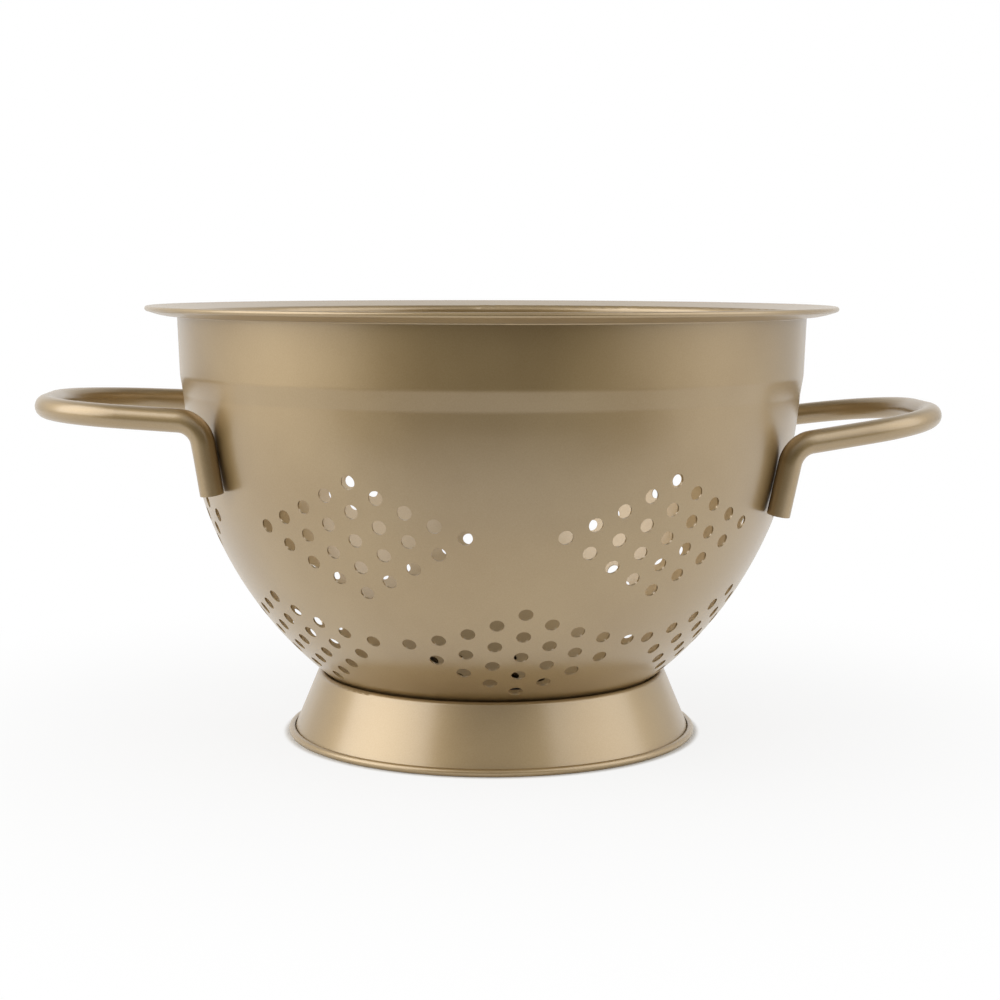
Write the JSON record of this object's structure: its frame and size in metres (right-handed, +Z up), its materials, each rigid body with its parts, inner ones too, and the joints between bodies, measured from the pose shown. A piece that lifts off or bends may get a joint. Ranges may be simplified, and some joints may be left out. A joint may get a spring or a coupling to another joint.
{
  "type": "colander",
  "caption": "Two-handled footed colander: a pressed bowl with diamonds of drain holes, a rolled rim, a flared foot ring and bent bar loop handles.",
  "frame": {"origin": "centre of the circle on which the foot ring rests", "axes": "+Z up along the bowl's axis, X through the two handles with handle_right on +X, -Y the front"},
  "size_m": [0.3206, 0.245, 0.1538],
  "materials": {
    "bowl_finish": "satin pale gold paint baked on pressed steel sheet",
    "foot_finish": "satin pale gold paint baked on spun steel sheet",
    "handle_finish": "satin pale gold paint baked on bent steel bar"
  },
  "bodies": {
    "root": {"bowl": "bowl_finish", "foot_ring": "foot_finish", "handle_left": "handle_finish", "handle_right": "handle_finish"}
  },
  "joints": []
}
